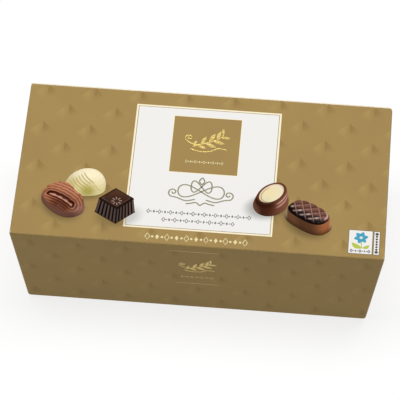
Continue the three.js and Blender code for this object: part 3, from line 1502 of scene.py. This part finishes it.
@dataclass(frozen=True)
class Sweet:
    """A pictured sweet: a small relief model that is pressed flat into a print.

    The model is seen from above its front, lit by a light of its own, and its colours are
    worked out from its shape. Pressing it flat along the line of sight keeps its order of
    depth, so near parts still cover far ones. Its profile is the scale of the outline and the
    share of the height, from the base's rim to the top's middle. Towards its top it may be
    pinched to a narrower width, twisted, and leaned along its length.
    """

    name: str
    centre: Point2
    half_length: float
    half_width: float
    height: float
    heading_deg: float
    bottom: float
    light: Point3
    shadow: SoftShadow
    squareness: float = 2.0
    ambient: float = 0.5
    diffuse: float = 0.55
    gloss: float = 0.1
    shine: float = 24.0
    around: int = 240
    along: int = 96
    elevation_deg: float = 45.0
    relief_mm: float = 0.035
    exposure: float = 0.87
    pinch: float = 0.0
    twist_deg: float = 0.0
    lean: float = 0.0

    profile = ((1.0, 0.0), (0.0, 1.0))

    def outline(self) -> np.ndarray:
        """The base's outline as rows of x and y.

        Returns:
            The points, counter-clockwise.
        """
        turn = np.linspace(0.0, 2 * np.pi, self.around, endpoint=False)
        way = np.stack([np.cos(turn), np.sin(turn)], -1)
        power = 2 / self.squareness
        return np.sign(way) * np.abs(way) ** power * (self.half_length, self.half_width)

    def relief(self, model: Model) -> np.ndarray:
        """How far each point stands out of the smooth model."""
        return np.zeros(model.scale.shape)

    def inks(self, model: Model) -> np.ndarray:
        """The sweet's own linear colour at each point, without light."""
        raise NotImplementedError

    @cached_property
    def view(self) -> np.ndarray:
        """The turn from the model's axes to the picture's right, up and towards the eye."""
        tilt, turn = math.radians(self.elevation_deg - 90.0), math.radians(self.heading_deg)
        return np.array(Matrix.Rotation(tilt, 3, "X") @ Matrix.Rotation(turn, 3, "Z"))

    def grid(self, points: np.ndarray, scale: np.ndarray) -> Model:
        """Work out the normals and the picture of a grid of points.

        Args:
            points: the points, one row for each step from the rim to the middle.
            scale: the scale of the outline at each point.

        Returns:
            The model.
        """
        inward = np.gradient(points, axis=0)
        around = np.roll(points, -1, axis=1) - np.roll(points, 1, axis=1)
        inward[-1], around[-1] = inward[-2], around[-2]
        normals = np.cross(around, inward)
        normals /= np.maximum(np.linalg.norm(normals, axis=-1, keepdims=True), 1e-9)
        turn = np.broadcast_to(np.arange(self.around) / self.around, scale.shape)
        seen = np.moveaxis(points @ self.view.T, -1, 0)
        return Model(points, normals, scale, turn, points[:, :, 2] / self.height, *seen)

    def model(self) -> Model:
        """Shape the smooth model and raise its relief.

        Returns:
            The model.
        """
        knots = np.array(self.profile)
        lengths = np.hypot(*(np.diff(knots, axis=0) * (self.half_length, self.height)).T)
        run = np.concatenate([[0.0], np.cumsum(lengths)])
        steps = np.linspace(0.0, run[-1], self.along)
        curve = np.stack([np.interp(steps, run, column) for column in knots.T])
        for _ in range(2):
            curve[:, 1:-1] = (curve[:, :-2] + 2 * curve[:, 1:-1] + curve[:, 2:]) / 4
        scale, lift = curve[:, :, None]
        x, y = scale * self.outline().T[:, None]
        x = x + self.lean * lift
        y = y * (1 - self.pinch * lift)
        turn = np.radians(self.twist_deg) * lift
        z = np.broadcast_to(lift * self.height, x.shape)
        points = np.stack([x * np.cos(turn) - y * np.sin(turn), x * np.sin(turn) + y * np.cos(turn), z], -1)
        smooth = self.grid(points, np.broadcast_to(scale, x.shape))
        raised = points + smooth.normals * self.relief(smooth)[:, :, None]
        raised[-1] = raised[-1].mean(0)
        return self.grid(raised, smooth.scale)

    def build(self, lid: Face, finish: Finish) -> bpy.types.Object:
        """Press the model flat onto the lid and colour it.

        Args:
            lid: the lid's face.
            finish: the print's material, which reads the inks.

        Returns:
            The piece.
        """
        model = self.model()
        normals = model.normals @ self.view.T
        light = np.array(self.light) / np.linalg.norm(self.light)
        halfway = light + (0.0, 0.0, 1.0)
        halfway /= np.linalg.norm(halfway)
        lit = self.ambient + self.diffuse * np.clip(normals @ light, 0.0, 1.0)
        glint = self.gloss * np.clip(normals @ halfway, 0.0, 1.0) ** self.shine
        inks = self.inks(model) * lit[:, :, None] + glint[:, :, None]
        colours = np.clip(inks * self.exposure, 0.0, 1.0)
        pressed = (model.depth - model.depth.min()) / np.ptp(model.depth) * self.relief_mm
        flat = np.stack([model.right, model.above, pressed], -1)
        mesh = self.mesh(flat, colours)
        mesh.materials.append(finish.material)
        return lid.lay(self.name, mesh, Slot.PRALINE_PRINT, self.centre, self.bottom)

    def mesh(self, flat: np.ndarray, colours: np.ndarray) -> bpy.types.Mesh:
        """Make the closed mesh of a pressed model, with a flat bottom and a shared pole.

        Args:
            flat: its points.
            colours: its linear colours.

        Returns:
            The mesh, in millimetres.
        """
        rows, count = flat.shape[:2]
        pole = (rows - 1) * count
        index = np.arange(pole).reshape(rows - 1, count)
        after = np.roll(index, -1, axis=1)
        quads = np.stack([index[:-1], after[:-1], after[1:], index[1:]], -1).reshape(-1, 4)
        fan = np.stack([index[-1], after[-1], np.full(count, pole)], -1)
        faces = [*quads.tolist(), index[0][::-1].tolist(), *fan.tolist()]
        points = np.concatenate([flat[:-1].reshape(-1, 3), flat[-1:, 0]])
        inks = np.concatenate([colours[:-1].reshape(-1, 3), colours[-1:].mean(1)])
        mesh = bpy.data.meshes.new(self.name)
        mesh.from_pydata(points.tolist(), [], faces)
        attribute = mesh.attributes.new(INK, "FLOAT_COLOR", "POINT")
        attribute.data.foreach_set("color", np.c_[inks, np.ones(len(inks))].ravel())
        mesh.polygons.foreach_set("use_smooth", [True] * len(faces))
        return mesh


@dataclass(frozen=True)
class NutSweet(Sweet):
    """A milk chocolate sweet like half a pecan, with long ridges that close in loops."""

    loop_centre: Point2 = (-0.9, 3.0)
    loop_deg: float = -29.0
    loop_half: float = 6.5
    loop_pitch: float = 1.62

    # A low foot under a rounded back.
    profile = ((1.0, 0.0), (1.0, 0.12), (0.97, 0.34), (0.87, 0.62), (0.68, 0.86), (0.38, 0.98), (0.0, 1.0))

    def loops(self, model: Model) -> tuple[np.ndarray, np.ndarray]:
        """The distance from the middle ridge in loops, and whether a point lies above it.

        Args:
            model: the sweet's model.

        Returns:
            Both for each point, the second from 0 to 1.
        """
        turn = math.radians(self.loop_deg)
        dx, dy = model.right - self.loop_centre[0], model.above - self.loop_centre[1]
        along = dx * math.cos(turn) + dy * math.sin(turn)
        across = dy * math.cos(turn) - dx * math.sin(turn) + 0.02 * along ** 2
        upper = np.minimum(across * 0.5, 1.1) + np.maximum(across - 2.2, 0.0) * 0.95
        across = np.where(across > 0.0, upper, across)
        bent = np.hypot(across, np.maximum(np.abs(along) - self.loop_half, 0.0) * 0.75)
        return bent / self.loop_pitch + 0.06 * np.sin(1.7 * along), step_up(across, -0.7, 0.3)

    def back(self, model: Model) -> np.ndarray:
        """How far a point lies on the ridged back, from 0 to 1."""
        return step_up(model.lift, 0.24, 0.5)

    def relief(self, model: Model) -> np.ndarray:
        """Ridges on the back, and a smooth foot."""
        return 0.5 * np.cos(2 * np.pi * self.loops(model)[0]) * self.back(model)

    def inks(self, model: Model) -> np.ndarray:
        """Reddish milk chocolate, nearly black in the first groove and pinkish at the foot.

        Args:
            model: the sweet's model.

        Returns:
            The inks.
        """
        back, (ring, upper) = self.back(model), self.loops(model)
        low = np.clip(1.25 * model.blot(-1.8, -1.2, 10.5), 0.0, 1.0)
        first = bell(ring, 0.72, 0.4) * (0.35 + 0.65 * upper)
        groove = np.clip(0.4 + first - np.cos(2 * np.pi * ring), 0.0, 1.0) ** 0.8 * back
        deep = groove * np.clip(0.55 + first + 0.2 * low, 0.0, 1.0)
        return inked("805646", (back, inked("CC8460", (low, "743C20"))),
                     (model.blot(9.5, -2.5, 6.5), "C28674"),
                     (step_up(ring, 0.3, 0.12) * 0.7, "DFA68A"), (deep, "420F02"))


@dataclass(frozen=True)
class IvorySweet(Sweet):
    """A white chocolate shell with a few curved grooves across its front."""

    groove_deg: float = -49.0
    groove_pitch: float = 1.8
    crease_at: float = 3.3

    # An even dome.
    profile = ((1.0, 0.0), (0.985, 0.15), (0.954, 0.3), (0.866, 0.5), (0.714, 0.7), (0.527, 0.85),
               (0.31, 0.95), (0.0, 1.0))

    def grooves(self, model: Model) -> np.ndarray:
        """The depth of the grooves, from 0 to 1.

        Args:
            model: the sweet's model.

        Returns:
            The depth at each point.
        """
        turn, above = math.radians(self.groove_deg), model.above - 1.8
        along = model.right * math.cos(turn) + above * math.sin(turn)
        across = above * math.cos(turn) - model.right * math.sin(turn)
        across = across - 0.045 * (np.minimum(along, 0.5) + 3.0) ** 2
        wave = np.clip(np.cos(2 * np.pi * (across - 0.1) / self.groove_pitch), 0.0, 1.0) ** 1.5
        fan = step_up(across, -5.6, -4.6) * step_up(across, 5.2, 4.4)
        reach = step_up(along, -7.6, -5.6) * step_up(along, 3.0, 0.2)
        crease = bell(across, self.crease_at, 0.42) * step_up(along, -3.0, 0.0) * step_up(along, 9.0, 7.0)
        return np.clip(wave * fan * reach + 0.4 * crease, 0.0, 1.0)

    def relief(self, model: Model) -> np.ndarray:
        """Soft grooves."""
        return -0.6 * self.grooves(model)

    def inks(self, model: Model) -> np.ndarray:
        """Ivory, with olive yellow shade low on its front.

        Args:
            model: the sweet's model.

        Returns:
            The inks.
        """
        return inked("FFF2CC", (step_up(model.above, 9.0, -1.0), "F4E6A8"),
                     (model.blot(1.8, -1.8, 6.8) * 1.1, "BFB05C"),
                     (model.blot(-6.6, 2.8, 6.5) * 0.6, "CFB86C"), (self.grooves(model) * 0.8, "BBA552"))


@dataclass(frozen=True)
class PyramidSweet(Sweet):
    """A dark chocolate block: a square frustum with ribbed sides and a star on its top."""

    ribs: int = 6
    star_centre: Point2 = (0.3, 6.9)
    star_deg: float = 98.0
    star_points: int = 8

    # Leaning sides, a narrow bevel, a fine step and a flat top.
    profile = ((1.0, 0.0), (0.87, 0.92), (0.84, 1.0), (0.8, 1.0), (0.73, 0.985), (0.71, 0.95),
               (0.69, 0.95), (0.0, 0.95))

    def outline(self) -> np.ndarray:
        """A square, stepped evenly along its sides.

        Returns:
            The points, counter-clockwise.
        """
        share = np.linspace(-1.0, 1.0, self.around // 4, endpoint=False)
        side = np.stack([share, -np.ones(len(share))], -1)
        turns = [side @ np.round(Matrix.Rotation(-turn * math.pi / 2, 2)) for turn in range(4)]
        return np.concatenate(turns) * (self.half_length, self.half_width)

    def rib_wave(self, model: Model) -> np.ndarray:
        """The ribs as a wave from -1 to 1 along each side."""
        return np.cos(2 * np.pi * ((model.turn * 4) % 1.0 * self.ribs + 0.5))

    def on_side(self, model: Model) -> np.ndarray:
        """How far a point lies within the ribbed part of a side, from 0 to 1."""
        upright = step_up(model.lift, 0.02, 0.08) * step_up(model.lift, 0.94, 0.86)
        return step_up(model.scale, 0.86, 0.88) * upright

    def relief(self, model: Model) -> np.ndarray:
        """Upright ribs on the sides."""
        return 0.22 * self.rib_wave(model) * self.on_side(model)

    def star(self, model: Model) -> np.ndarray:
        """The strokes of the star on the top, from 0 to 1.

        Args:
            model: the sweet's model.

        Returns:
            The share of the stroke at each point.
        """
        dx, dy = model.right - self.star_centre[0], (model.above - self.star_centre[1]) * 1.1
        reach, angle = np.hypot(dx, dy), np.arctan2(dy, dx) - math.radians(self.star_deg)
        step = 2 * math.pi / self.star_points
        off = np.abs((angle + step / 2) % step - step / 2) * reach
        return step_up(off, 0.38, 0.1) * step_up(reach, 1.0, 1.5) * step_up(reach, 3.0, 2.4)

    def inks(self, model: Model) -> np.ndarray:
        """Dark chocolate, nearly black between the ribs, greyer on them, lighter at the rim.

        Args:
            model: the sweet's model.

        Returns:
            The inks.
        """
        rib = inked("64504A", (step_up(model.right, 2.0, 10.0), "80675C"))
        sides = inked("080100", (step_up(self.rib_wave(model), -0.35, 0.3), rib))
        bevel = step_up(model.scale, 0.73, 0.76) * step_up(model.scale, 0.88, 0.86)
        rim = np.clip(1.5 - np.abs(model.scale - 0.69) / 0.026, 0.0, 1.0)
        return inked("40261A", (step_up(model.above, 8.0, 13.0), "54341F"), (self.on_side(model), sides),
                     (bevel * 0.75, "0E0402"), (rim * 0.6 * step_up(model.above, 10.0, 7.5), "8A6E62"),
                     (self.star(model) * 0.75, "CBAA9C"))


@dataclass(frozen=True)
class CupSweet(Sweet):
    """A milk chocolate cup with a rounded lip round a smooth cream filling."""

    # Flared sides, a rounded lip and a slightly sunken filling.
    profile = ((1.0, 0.0), (1.0, 0.1), (0.965, 0.5), (0.92, 0.84), (0.89, 0.94), (0.845, 1.0),
               (0.785, 1.0), (0.735, 0.95), (0.71, 0.87), (0.68, 0.86), (0.3, 0.87), (0.0, 0.87))

    def inks(self, model: Model) -> np.ndarray:
        """Milk chocolate, dark under the lip on the left, with cream that darkens at its edge.

        Args:
            model: the sweet's model.

        Returns:
            The inks.
        """
        right, above, scale = model.right, model.above, model.scale
        under_lip = bell(scale, 0.91, 0.05) * step_up(above, 7.0, 1.0) * step_up(right, 3.5, -1.0)
        streaks = bell(scale, 0.93, 0.008) + bell(scale, 0.96, 0.006)
        lit = step_up(right, 2.0, 5.0) * step_up(above, 9.5, 5.5)
        side = inked("522817", (step_up(right, -2.0, 9.0), "86543F"),
                     (step_up(right, -3.8, -7.6), "8A5A44"), (under_lip, "3A1202"),
                     (streaks * lit * 0.75, "EDB9A6"))
        lip = inked("633420", (step_up(above, 3.0, -1.5) * step_up(right, 5.0, 1.0), "341000"))
        wall = inked("F6DFC4", (step_up(right, 1.0, -4.0), "F4CFAE"))
        cream = inked("EADFBC", (model.blot(-1.0, 6.2, 7.0), "EFDDAE"),
                      (model.blot(-2.4, 1.6, 3.6) * 0.6, "DCD3A2"))
        arc = bell(scale, 0.62, 0.026) * step_up(right, 0.5, -3.0)
        return inked(side, (step_up(scale, 0.9, 0.87), lip), (step_up(scale, 0.755, 0.735), wall),
                     (step_up(scale, 0.69, 0.66), cream), (arc, "8A7352"))


@dataclass(frozen=True)
class LatticeSweet(Sweet):
    """A long sweet: milk chocolate sides under a glossy dark top, quilted by crossing lines."""

    line_pitch: float = 3.9
    line_at: float = -4.75
    groove_pitch: float = 3.0
    groove_at: float = 8.95

    # Leaning sides, a narrow shoulder and a low domed top.
    profile = ((1.0, 0.0), (1.0, 0.08), (0.96, 0.4), (0.92, 0.72), (0.905, 0.78), (0.89, 0.79),
               (0.875, 0.84), (0.83, 0.92), (0.7, 0.975), (0.4, 1.0), (0.0, 1.0))

    def cells(self, model: Model) -> tuple[np.ndarray, np.ndarray]:
        """The place of each point between two lines and between two grooves, from 0 to 1."""
        line = (model.right + 0.24 * model.above - self.line_at) / self.line_pitch
        return line % 1.0, (self.groove_at - model.above + 0.2 * model.right) / self.groove_pitch % 1.0

    def relief(self, model: Model) -> np.ndarray:
        """Pillows between the lines of the top.

        Args:
            model: the sweet's model.

        Returns:
            The height of the pillows at each point.
        """
        line, groove = self.cells(model)
        pillow = np.sin(np.pi * line) ** 0.7 * np.sin(np.pi * groove) ** 0.7
        return 0.4 * pillow * step_up(model.scale, 0.88, 0.85)

    def inks(self, model: Model) -> np.ndarray:
        """Milk chocolate below, dark chocolate above, with lighter lines and patches of shine.

        Args:
            model: the sweet's model.

        Returns:
            The inks.
        """
        right, above, scale = model.right, model.above, model.scale
        (line, groove), slope = self.cells(model), 0.5 * right + above
        side = inked("73492D", (step_up(right, 1.0, 9.5), "B46E44"),
                     (step_up(right, -3.0, -8.0), "8C5E40"), (step_up(right, -10.4, -11.6), "E8C3A0"),
                     (step_up(right, 10.2, 11.8) * 0.7, "EBB78E"),
                     (step_up(model.lift, 0.5, 0.0) * 0.8, "5A3419"))
        lower_left = step_up(slope, 8.2, 3.4)
        edge = step_up(scale, 0.66, 0.78) * lower_left
        patch = bell(groove, 0.36, 0.16) * bell(line, 0.5, 0.38) * step_up(scale, 0.8, 0.7)
        patch = patch * (0.14 + 0.86 * bell(slope, 4.1, 2.2))
        cut = bell(np.minimum(groove, 1 - groove), 0.0, 0.09)
        drawn = bell(np.minimum(line, 1 - line), 0.0, 0.06) * step_up(scale, 0.87, 0.78)
        arc = bell(scale, 0.79, 0.03) * step_up(right, 7.6, 8.8) * step_up(above, -0.6, 0.8)
        top = inked("74493A", (lower_left, "1C0603"), (edge, "140201"), (patch * 0.9, "E4C8BC"),
                    (cut * 0.8, "100302"), (drawn * (1 - 0.8 * edge) * 0.62, "C9998C"),
                    (arc * 0.8, "E7BDB2"))
        return inked(side, (step_up(scale, 0.9, 0.885), top))


def pictured_sweets() -> list[Sweet]:
    """The five sweets that are pictured on the lid, from back to front in each group.

    Returns:
        The sweets.
    """
    low, high = 0.035, 0.075
    above_left, above_right = (-0.25, 0.65, 0.72), (0.35, 0.55, 0.75)
    return [
        IvorySweet("picture_ivory_shell", (-59.9, -17.2), 10.7, 10.2, 13.4, -4.0, low, (0.2, 0.6, 0.75),
                   SoftShadow((-59.6, -17.4), (13.5, 9.4), 0.0, 0.45), ambient=0.68, diffuse=0.36,
                   gloss=0.03, elevation_deg=31.0, lean=1.6),
        CupSweet("picture_cream_cup", (35.6, -18.4), 12.2, 8.7, 8.9, 74.0, low, above_right,
                 SoftShadow((33.4, -21.5), (14.0, 9.5), 12.0, 0.5), ambient=0.58, gloss=0.04,
                 pinch=0.2, twist_deg=-11.0),
        NutSweet("picture_nut", (-69.9, -27.9), 12.9, 8.7, 12.6, -50.0, high, above_left,
                 SoftShadow((-70.8, -29.0), (15.0, 10.8), -34.0, 0.5), 2.4, gloss=0.05),
        PyramidSweet("picture_pyramid", (-43.0, -30.9), 7.35, 7.35, 12.6, -39.3, high, above_left,
                     SoftShadow((-41.0, -33.0), (15.0, 9.0), 12.0, 0.32), ambient=0.6, diffuse=0.4,
                     gloss=0.02),
        LatticeSweet("picture_lattice", (55.2, -28.6), 13.0, 7.8, 9.8, -39.0, high, above_right,
                     SoftShadow((53.8, -29.6), (16.0, 10.6), -30.0, 0.5), 2.7, gloss=0.04, shine=40.0),
    ]


@dataclass(frozen=True)
class PhotoCamera:
    """The camera of the photograph, solved from the corners of the box."""

    azimuth_deg: float = 4.146
    elevation_deg: float = 54.571
    roll_deg: float = 0.676
    distance: float = 1442.5
    aside: float = -2.065
    above: float = -16.015
    lens: float = 252.91
    reach: float = 20.0

    def build(self, target_z: float) -> bpy.types.Object:
        """Make the camera and set it as the scene's own.

        Args:
            target_z: the height of the point that it is measured from.

        Returns:
            The camera.
        """
        angles = (self.azimuth_deg, self.elevation_deg, self.roll_deg)
        azimuth, elevation, roll = map(math.radians, angles)
        back = Vector((math.sin(azimuth) * math.cos(elevation),
                       -math.cos(azimuth) * math.cos(elevation), math.sin(elevation)))
        level = Vector((math.cos(azimuth), math.sin(azimuth), 0.0))
        upright = back.cross(level)
        right = level * math.cos(roll) + upright * math.sin(roll)
        up = upright * math.cos(roll) - level * math.sin(roll)
        data = bpy.data.cameras.new("photo_camera")
        data.lens = self.lens
        data.sensor_fit = "HORIZONTAL"
        data.clip_end = self.reach
        camera = link_object("photo_camera", data)
        place = Vector((0.0, 0.0, target_z)) + back * self.distance + right * self.aside + up * self.above
        turned = Matrix((right, up, back)).transposed().to_4x4()
        camera.matrix_world = Matrix.Translation(place * MM) @ turned
        bpy.context.scene.camera = camera
        return camera


@dataclass(frozen=True)
class Studio:
    """A pale backlit table under one wide soft light overhead, in metres.

    The light is shallow from front to back, so the lid mirrors the dim room behind it and its
    print keeps its depth. The table glows a little, which keeps the shadows on it faint.
    """

    floor_half: float = 2.5
    floor_gap: float = 0.0001
    floor_code: str = "7C7C7C"
    floor_glow: float = 0.8
    light_size: Point2 = (1.5, 0.62)
    light_place: Point3 = (-0.04, 0.14, 1.2)
    light_aim: Point3 = (0.0, 0.0, 0.04)
    light_power: float = 18.2
    fill: float = 0.08

    def build(self) -> None:
        """Make the floor, the light and the world, and show colours as they are."""
        mesh = bpy.data.meshes.new("floor")
        corners = ((-1, -1), (1, -1), (1, 1), (-1, 1))
        mesh.from_pydata([(x * self.floor_half, y * self.floor_half, -self.floor_gap) for x, y in corners],
                         [], [(0, 1, 2, 3)])
        # White plastic that is lit from behind: matte, even and without any shine.
        mesh.materials.append(principled("backlit white table", lambda add: {
            "Base Color": srgb(self.floor_code), "Roughness": 0.9, "Specular IOR Level": 0.0,
            "Emission Color": WHITE, "Emission Strength": self.floor_glow}))
        link_object("floor", mesh)

        data = bpy.data.lights.new("soft_box", "AREA")
        data.shape = "RECTANGLE"
        data.size, data.size_y = self.light_size
        data.energy = self.light_power
        light = link_object("soft_box", data)
        light.location = self.light_place
        aim = Vector(self.light_aim) - light.location
        light.rotation_euler = aim.to_track_quat("-Z", "Y").to_euler()

        world = bpy.data.worlds.new("studio")
        world.use_nodes = True
        backdrop = world.node_tree.nodes["Background"]
        backdrop.inputs["Color"].default_value = WHITE
        backdrop.inputs["Strength"].default_value = self.fill
        bpy.context.scene.world = world
        bpy.context.scene.view_settings.view_transform = "Standard"


def dress_lid(lid: Face, palette: Palette, tools: Tools) -> None:
    """Print the label, its ornaments, the row along the front edge and the corner patch.

    Args:
        lid: the lid's face.
        palette: the finishes.
        tools: the tools.
    """
    label = LidLabel()
    label.build(lid, palette)
    over, foil, dark = label.thickness, Slot.GOLD_FOIL, Slot.DARK_PRINT
    for ornament in (
            Sprig("lid_sprig", (-0.3, 18.6), palette.foil, foil, over, 22.6),
            MarkRow("square_row", (-0.3, 4.1), palette.pale, foil, over, 19.6, 2.0, 1.2, 0.36),
            Flourish("flourish", (-0.3, -14.6), palette.olive, dark, over, 34.6),
            MarkRow("first_row", (-0.4, -28.7), palette.grey, dark, over, 52.8, 2.6, 1.42, 0.5),
            MarkRow("second_row", (-0.4, -33.3), palette.grey, dark, over, 36.7, 2.6, 1.42, 0.5),
            MarkRow("front_edge_row", (-0.4, -44.2), palette.pale, foil, 0.0, 51.9, 4.1, 2.36, 0.55)):
        ornament.build(lid, tools)
    CornerPatch().build(lid, palette, tools)


def dress_front(front: Face, palette: Palette, tools: Tools) -> None:
    """Print the front wall's sprig, its row of marks and its two fine rules.

    Args:
        front: the front wall's face.
        palette: the finishes.
        tools: the tools.
    """
    foil = Slot.GOLD_FOIL
    Sprig("front_sprig", (0.3, -19.9), palette.bright, foil, 0.0, 18.6, 0.7).build(front, tools)
    MarkRow("front_row", (0.3, -31.9), palette.dull, foil, 0.0, 16.5, 2.0, 1.2, 0.4).build(front, tools)
    rules, half_width, thickness = Skin(), 0.18, 0.02
    for y, left, right in ((-6.0, -13.1, 11.3), (-38.7, -10.7, 11.9)):
        rules.add_field(Area(left, right, y - half_width, y + half_width).outline(), thickness)
    front.lay("front_rules", rules.mesh("front_rules", palette.dull), foil)


def main() -> None:
    """Build the box from its carton to its smallest print, then the camera and the studio."""
    logging.basicConfig(level=logging.INFO, format="%(name)s: %(message)s")
    sweets = pictured_sweets()
    palette = Palette(LidShade(tuple(sweet.shadow for sweet in sweets)))
    tools = Tools()
    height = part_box(CARTON_NODE)[1].z / MM
    carton = FoldedCarton(height)
    lid = carton.lid()

    carton.build(palette.board, palette.cut)
    dress_lid(lid, palette, tools)
    dress_front(carton.front(), palette, tools)
    for sweet in sweets:
        sweet.build(lid, palette.sweets)

    PhotoCamera().build(height)
    Studio().build()


if __name__ == "__main__":
    main()
